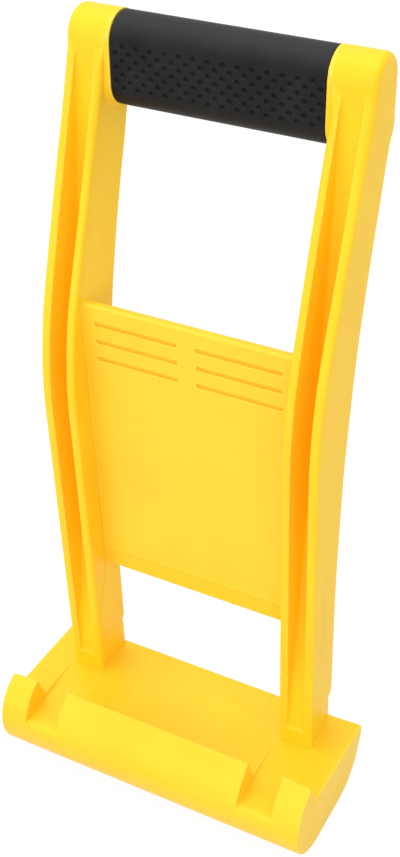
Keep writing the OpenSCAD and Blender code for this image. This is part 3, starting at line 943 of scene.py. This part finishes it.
def end_rows(outline):
    """Rows that close an end: the outline is drawn in along its normals by END_SOFT (1 - cos t)
    while x goes on by END_SOFT sin t, and is then shrunk to a point."""
    y, z = outline.T
    inward = normals(outline) * np.sign((y * np.roll(z, -1) - np.roll(y, -1) * z).sum())
    drawn = [outline + inward * END_SOFT * (1.0 - math.cos(t)) for t in ARC[1:]]
    shrunk = [HEART + (drawn[-1] - HEART) * t for t in SHRINK]
    x = np.concatenate([
        BASE_END - END_SOFT * (1.0 - np.sin(ARC[1:])), np.full(len(SHRINK), BASE_END)])
    return x, np.stack(drawn + shrunk)


def fitted_ends(x, y, z):
    """Fits the ends to the photo: x times 1 + a share that grows to the back, and z moved up on the
    deck and down at the crest."""
    end = ramp(*END_X, np.abs(x))
    wide = WIDER * ramp(*WIDER_Y, y)
    wide = wide + DECK_WIDER * ramp(*DECK_WIDER_Z, z) * ramp(*DECK_WIDER_Y, y)
    up = DECK_UP * ramp(*DECK_UP_Z, z) * ramp(*DECK_UP_Y, y)
    down = CREST_DOWN * ramp(*CREST_DOWN_Z, z)
    return np.stack([x * (1.0 + wide * end), y, z + (up - down) * end], -1)


def base_surface():
    """Outline at each x: under + lug or strip + tail + cell or rib. A point drops from the lug to
    the strip by fall / height of the way."""
    x = beam_places()
    fall = lug_fall(x)[:, None]
    height = np.maximum(np.linalg.norm(lug_part - strip_part, axis=1), 1e-6)
    drop = np.clip(fall / height, 0.0, 1.0)[..., None]
    thin = np.clip(fall / ROOF_FALL, 0.0, 1.0)[..., None]
    in_cell = sum(between(a, a + SWITCH, b - SWITCH, b, x) for a, b in CELLS)[:, None, None]
    top = lug_part * (1.0 - drop) + strip_part * drop
    hollow = lug_cell * (1.0 - thin) + strip_cell * thin
    inner = rib_line * (1.0 - in_cell) + hollow * in_cell
    below, rear = (np.broadcast_to(v, (len(x),) + v.shape) for v in (under, tail))
    rings = np.concatenate([below, top, rear, inner], 1)
    end_x, cap = end_rows(rings[0])
    grid = np.concatenate([cap[::-1], rings, cap])
    xs = np.concatenate([-end_x[::-1], x, end_x])[:, None]
    return fitted_ends(xs, grid[..., 0], grid[..., 1])


surface("base_and_lugs", base_surface(), plastic["base"],
        ("base", "left_lug", "centre_lug", "right_lug"))

# %% [markdown]
# ## Panel
# The panel is a thin plate between the legs. Its front has two groups of three recessed lines and
# a bevelled band along the lower edge. The outline of the plate, with soft edges, is carried
# along x, and the lines push its front in.

# %% Front of the panel
LINE_IN, LINE_OUT, LINE_W, LINE_D = 4.3, 44.1, 2.2, 1.3
# The last of these is a small sunk height that paints the recessed lines darker, as shade.
LINE_TOP, LINE_PITCH, LINE_ROWS, LINE_SHADE = 9.1, 8.75, 3, -0.055
LINE_Z = PANEL_TOP - LINE_TOP - LINE_PITCH * np.arange(LINE_ROWS)
PANEL_SETBACK, PANEL_T = 12.9, 4.5
BEVEL_H, BEVEL_D, BEAD_H, BEAD_W = 11.6, 1.2, 0.2, 0.9


def panel_front(z):
    """The panel leans forward with the legs, and its lower band slopes back from a slight bead."""
    up = z - PANEL_LOW - BEVEL_H
    plane = PANEL_SETBACK - LEAN * (z - DECK_H)
    band = BEVEL_D * np.clip(-up / BEVEL_H, 0.0, 1.0)
    return plane + band - BEAD_H * np.exp(-(up / BEAD_W) ** 2)


def line_depth(x, z):
    """Depth of the recessed lines: distance to a round-ended bar, turned into a soft-edged step."""
    past_end = np.maximum(np.abs(x) - LINE_OUT, LINE_IN - np.abs(x))
    off_x = np.maximum(past_end + LINE_W / 2.0, 0.0)
    off_z = np.abs(z[..., None] - LINE_Z).min(-1)
    return LINE_D * (1.0 - ramp(-0.3, 0.1, np.hypot(off_x, off_z) - LINE_W / 2.0))


def painted_line_shade(flow, mm, axes):
    """Painted shade in the recessed lines, as a small sunk height that the finish darkens: full
    from 0.7 to 1.8 mm behind the front plane, in their band.
    """
    x, y, z = axes
    behind = y + z * LEAN - (PANEL_SETBACK + SHIFT + LEAN * DECK_H)
    inside = behind.step(0.1, 0.7) * (1.0 - behind.step(1.8, 2.4))
    low, high = LINE_Z[-1], LINE_Z[0]
    band = z.step(low - 3.0, low - 2.0) * (1.0 - z.step(high + 2.0, high + 3.0))
    return inside * band * (1.0 - abs(x).step(LINE_OUT + 0.5, LINE_OUT + 1.5)) * LINE_SHADE


plastic["panel"] = yellow_plastic("yellow_panel", painted_line_shade, 0.1)
print("recessed lines at z", LINE_Z.round(2))

# %% Panel
PANEL_SOFT, LOW_SOFT, FILLET, PANEL_IN = 1.4, 0.6, 0.35, 0.7
BOW_FROM = 45.5


def panel_outline():
    """Outline from the side: front, top, back and lower edge, and how many points the front has."""
    spans = [
        np.linspace(PANEL_LOW + LOW_SOFT * 1.15, PANEL_TOP - PANEL_SOFT * 1.15, 70),
        np.linspace(-2.1, 2.1, 15) + PANEL_LOW + BEVEL_H,
        (LINE_Z[:, None] + np.linspace(-1.5, 1.5, 31)).ravel(),
    ]
    front_z = np.unique(np.concatenate(spans).round(4))
    front = np.stack([panel_front(front_z), front_z], -1)
    low_f, top_f = (panel_front(PANEL_LOW), PANEL_LOW), (panel_front(PANEL_TOP), PANEL_TOP)
    top_b, low_b = (top_f[0] + PANEL_T, PANEL_TOP), (low_f[0] - BEVEL_D + PANEL_T, PANEL_LOW)
    return np.concatenate([
        front, corner(front[-2], top_f, top_b, PANEL_SOFT, 8),
        corner(top_f, top_b, low_b, PANEL_SOFT, 8), line(top_b, low_b, 20)[1:-1],
        corner(top_b, low_b, low_f, LOW_SOFT, 5),
        corner(low_b, low_f, front[1], LOW_SOFT, 5)]), len(front)


def panel_surface():
    """The outline carried along x. The front is pushed in by line_depth(x, z). Near a leg the
    outline spreads along its normals by FILLET (1 - cos t) while x goes on by FILLET sin t."""
    ring, front_count = panel_outline()
    start = LEG_IN - FILLET
    ends = [side * v + np.linspace(-1.1, 1.1, 15)
            for side in (-1, 1) for v in (LINE_IN + 0.5, LINE_OUT - 0.5)]
    x = np.unique(np.concatenate([np.linspace(-start, start, 48)] + ends).round(4))
    turn = np.linspace(0.0, math.pi / 2.0, 9)[1:]
    out_x = np.concatenate([start + FILLET * np.sin(turn), [LEG_IN + PANEL_IN]])
    spread = np.concatenate([FILLET * (1.0 - np.cos(turn)), [FILLET]])
    spread = np.concatenate([spread[::-1], np.zeros(len(x)), spread])
    x = np.concatenate([-out_x[::-1], x, out_x])
    grid = ring + normals(ring) * spread[:, None, None]
    is_front = (np.arange(len(ring)) < front_count)[None, :]
    grid[..., 0] += line_depth(x[:, None], grid[..., 1]) * is_front
    near_leg = (np.sign(x) * ramp(BOW_FROM, start, np.abs(x)))[:, None]
    bow = near_leg * (inner_face(grid[..., 1]) - LEG_IN)
    grid = np.concatenate([(x[:, None] + bow)[..., None], grid], -1)
    middle = ring.mean(0)
    close = [np.broadcast_to([v, *middle], (1, len(ring), 3)) for v in (x[0], x[-1])]
    return np.concatenate([close[0], grid, close[1]])


surface("panel_plate", panel_surface(), plastic["panel"], ("panel",))

# %% [markdown]
# ## Camera, floor and light
# The camera stands where the photo was taken from: its angle, distance and lens were worked out
# from the outline of the object. The floor is plain and white to the camera but keeps a soft
# shadow. A large soft lamp shines from above, one from the front and a weak one from the right, in
# a room that is brighter in front and to the left.

# %% Camera
AZ, EL, ROLL = (math.radians(v) for v in (28.15, 35.15, -0.82))
TARGET, DISTANCE = Vector((-2.53, 17.01, 183.2)) * MM, 0.6165
SENSOR, FOCAL_PIXELS, PHOTO_PIXELS = 36.0, 1396.86, 857.0

back = Vector((math.sin(AZ) * math.cos(EL), -math.cos(AZ) * math.cos(EL), math.sin(EL)))
right = (-back).cross(Vector((0, 0, 1))).normalized()
up = right.cross(-back)
cam_x = right * math.cos(ROLL) + up * math.sin(ROLL)
cam_y = up * math.cos(ROLL) - right * math.sin(ROLL)
turned = Matrix((cam_x, cam_y, back)).transposed().to_4x4()
data = bpy.data.cameras.new("camera")
data.sensor_width, data.lens = SENSOR, FOCAL_PIXELS * SENSOR / PHOTO_PIXELS
camera = bpy.data.objects.new("camera", data)
camera.matrix_world = Matrix.Translation(TARGET + back * DISTANCE) @ turned
scene.collection.objects.link(camera)
scene.camera = camera
print("lens of", round(data.lens, 1), "mm")

# %% Floor
WHITE, PAPER = (1.0, 1.0, 1.0, 1.0), (0.66, 0.66, 0.66, 1.0)
FLOOR_HALF, FLOOR_GLOW, FLOOR_SHARE = 4.0, 1.05, 0.9


def background_rays(flow):
    """1 for rays that meet a white background: from the camera, off a sheen, or through glass."""
    rays = flow.make("LightPath").socket.node.outputs
    camera, sheen, through = (
        Flow(flow.tree, rays["Is " + way + " Ray"]) for way in ("Camera", "Glossy", "Transmission"))
    return flow.math("MINIMUM", camera + sheen + through, 1.0)


def floor_finish():
    """White to the camera, with a faint part of plain white paper that shows the shadow."""
    finish = bpy.data.materials.new("white_floor")
    finish.use_nodes = True
    tree = finish.node_tree
    tree.nodes.clear()
    flow = Flow(tree)
    seen = background_rays(flow)
    paper = flow.make("BsdfDiffuse", {"Color": PAPER})
    glow = flow.make("Emission", {"Color": WHITE, "Strength": FLOOR_GLOW})
    blend = flow.make("MixShader", {0: seen * FLOOR_SHARE, 1: paper, 2: glow})
    flow.make("OutputMaterial", {"Surface": blend})
    return finish


corners = [(FLOOR_HALF * a, FLOOR_HALF * b, 0) for a, b in ((-1, -1), (1, -1), (1, 1), (-1, 1))]
sheet = bpy.data.meshes.new("floor")
sheet.from_pydata(corners, [], [(0, 1, 2, 3)])
sheet.materials.append(floor_finish())
floor = bpy.data.objects.new("floor", sheet)
scene.collection.objects.link(floor)
print("floor:", floor.active_material.name)

# %% Lamps
# Square soft lamps: place and size in metres, and strength in watts
LAMPS = {
    "key": ((-0.35, 0.0, 1.9), 1.4, 9.5),
    "fill": ((1.3, -0.7, 0.5), 1.2, 1.0),
    "front": ((-0.2, -1.9, 0.5), 1.5, 4.0),
}
LAMP_TARGET = Vector((0.0, 0.0, 0.18))

for name, (place, size, watts) in LAMPS.items():
    data = bpy.data.lights.new(name, "AREA")
    data.size, data.energy = size, watts
    one = bpy.data.objects.new(name, data)
    aim = (LAMP_TARGET - Vector(place)).to_track_quat("-Z", "Y")
    one.matrix_world = Matrix.LocRotScale(Vector(place), aim, None)
    scene.collection.objects.link(one)
    print("lamp:", name, watts, "W")

# %% Room
ROOM, ROOM_LEFT, ROOM_FRONT = 1.1, 0.2, 0.24
DIFFUSE_BOUNCES, MOST_BOUNCES = 12, 16

world = bpy.data.worlds.new("studio")
scene.world = world
world.use_nodes = True
world.node_tree.nodes.clear()
sky = Flow(world.node_tree)
seen = background_rays(sky)
to_right, to_back = sky.make("TexCoord").split()[:2]
strength = ROOM - ROOM_LEFT * to_right - ROOM_FRONT * to_back
room = sky.make("Background", {"Color": WHITE, "Strength": strength})
white = sky.make("Background", {"Color": WHITE, "Strength": 1.0})
blend = sky.make("MixShader", {0: seen, 1: room, 2: white})
sky.make("OutputWorld", {"Surface": blend})
scene.view_settings.view_transform = "Standard"
scene.cycles.diffuse_bounces = DIFFUSE_BOUNCES
scene.cycles.max_bounces = MOST_BOUNCES
print("room:", world.name)
